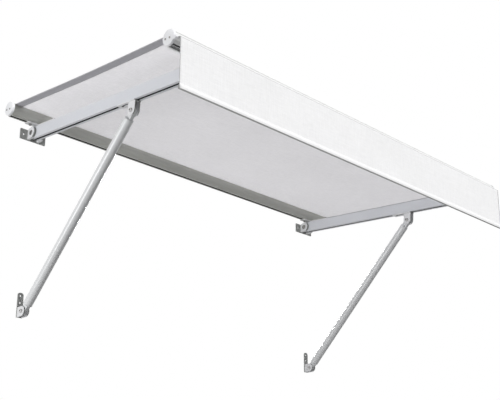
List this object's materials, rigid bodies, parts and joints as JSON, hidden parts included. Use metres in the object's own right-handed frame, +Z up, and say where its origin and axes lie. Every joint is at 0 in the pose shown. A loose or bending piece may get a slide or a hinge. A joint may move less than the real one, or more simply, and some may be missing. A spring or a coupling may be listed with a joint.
{
  "type": "fabric awning",
  "caption": "Wall-mounted awning: cloth stretched between tubes on hinged side rails, held by slanted struts that slide under the rails, with a straight valance in front.",
  "frame": {"origin": "on the wall plane, midway between the two upper brackets, at the height of their pivots", "axes": "+X to the right seen from in front, +Y into the wall, +Z up"},
  "size_m": [1.994, 1.0954, 0.8652],
  "materials": {
    "white_coat": "pale grey satin coat on extruded aluminium",
    "bracket": "white coat on cast and pressed brackets",
    "casting": "light grey coat on die-cast aluminium",
    "strut": "white satin coat on drawn aluminium tube",
    "cap": "white moulded plastic",
    "steel": "zinc-plated steel",
    "cloth": "woven grey-white awning cloth",
    "valance": "woven white awning cloth"
  },
  "bodies": {
    "wall_brackets": {"upper_bracket_left": "bracket", "upper_bolt_left": "steel", "upper_bracket_right": "bracket", "upper_bolt_right": "steel"},
    "canopy": {"rear_tube": "white_coat", "rear_cap_left": "cap", "rear_cap_left_screw_1": "steel", "rear_cap_left_screw_2": "steel", "rear_plate_left": "white_coat", "rear_plate_left_tube_bolt_1": "steel", "rear_plate_left_tube_bolt_2": "steel", "rear_plate_left_rail_bolt": "steel", "rear_cap_right": "cap", "rear_cap_right_screw_1": "steel", "rear_cap_right_screw_2": "steel", "rear_plate_right": "white_coat", "rear_plate_right_tube_bolt_1": "steel", "rear_plate_right_tube_bolt_2": "steel", "rear_plate_right_rail_bolt": "steel", "front_tube": "white_coat", "front_cap_left": "cap", "front_cap_left_screw_1": "steel", "front_cap_left_screw_2": "steel", "front_plate_left": "white_coat", "front_plate_left_tube_bolt_1": "steel", "front_plate_left_tube_bolt_2": "steel", "front_plate_left_rail_bolt": "steel", "front_cap_right": "cap", "front_cap_right_screw_1": "steel", "front_cap_right_screw_2": "steel", "front_plate_right": "white_coat", "front_plate_right_tube_bolt_1": "steel", "front_plate_right_tube_bolt_2": "steel", "front_plate_right_rail_bolt": "steel", "rail_left": "white_coat", "rail_knuckle_left": "casting", "rail_cap_left": "cap", "rail_right": "white_coat", "rail_knuckle_right": "casting", "rail_cap_right": "cap", "fabric_cover": "cloth", "valance": "valance", "valance_weight_bar": "steel"},
    "slider_left": {"slider_left": "bracket", "slider_clamp_bolt_left": "steel", "slider_bolt_left": "steel"},
    "strut_left": {"strut_tube_left": "strut", "strut_head_left": "casting", "strut_foot_left": "casting"},
    "foot_bracket_left": {"lower_bracket_left": "bracket", "lower_bolt_left": "steel"},
    "slider_right": {"slider_right": "bracket", "slider_clamp_bolt_right": "steel", "slider_bolt_right": "steel"},
    "strut_right": {"strut_tube_right": "strut", "strut_head_right": "casting", "strut_foot_right": "casting"},
    "foot_bracket_right": {"lower_bracket_right": "bracket", "lower_bolt_right": "steel"}
  },
  "joints": [
    {"name": "canopy_tilt", "type": "hinge", "parent": "wall_brackets", "child": "canopy", "pos_m": [0, -0.03, 0], "axis": [1, 0, 0], "range_deg": [-4, 8]},
    {"name": "slider_slide_left", "type": "slide", "parent": "canopy", "child": "slider_left", "axis": [0, -0.9962, -0.0872], "range_m": [-0.065, 0.125]},
    {"name": "strut_pivot_left", "type": "hinge", "parent": "slider_left", "child": "strut_left", "pos_m": [-0.845, -0.68308, -0.11937], "axis": [1, 0, 0], "range_deg": [-1, 2]},
    {"name": "foot_pivot_left", "type": "hinge", "parent": "strut_left", "child": "foot_bracket_left", "pos_m": [-0.845, -0.0355, -0.757], "axis": [1, 0, 0], "range_deg": [-10, 5]},
    {"name": "slider_slide_right", "type": "slide", "parent": "canopy", "child": "slider_right", "axis": [0, -0.9962, -0.0872], "range_m": [-0.065, 0.125]},
    {"name": "strut_pivot_right", "type": "hinge", "parent": "slider_right", "child": "strut_right", "pos_m": [0.845, -0.68308, -0.11937], "axis": [1, 0, 0], "range_deg": [-1, 2]},
    {"name": "foot_pivot_right", "type": "hinge", "parent": "strut_right", "child": "foot_bracket_right", "pos_m": [0.845, -0.0355, -0.757], "axis": [1, 0, 0], "range_deg": [-10, 5]}
  ],
  "couplings": [
    {"joint": "slider_slide_left", "follows": "canopy_tilt", "m_per_rad": 0.8713},
    {"joint": "strut_pivot_left", "follows": "canopy_tilt", "ratio": 0.167},
    {"joint": "foot_pivot_left", "follows": "canopy_tilt", "ratio": -1.167},
    {"joint": "slider_slide_right", "follows": "canopy_tilt", "m_per_rad": 0.8713},
    {"joint": "strut_pivot_right", "follows": "canopy_tilt", "ratio": 0.167},
    {"joint": "foot_pivot_right", "follows": "canopy_tilt", "ratio": -1.167}
  ]
}
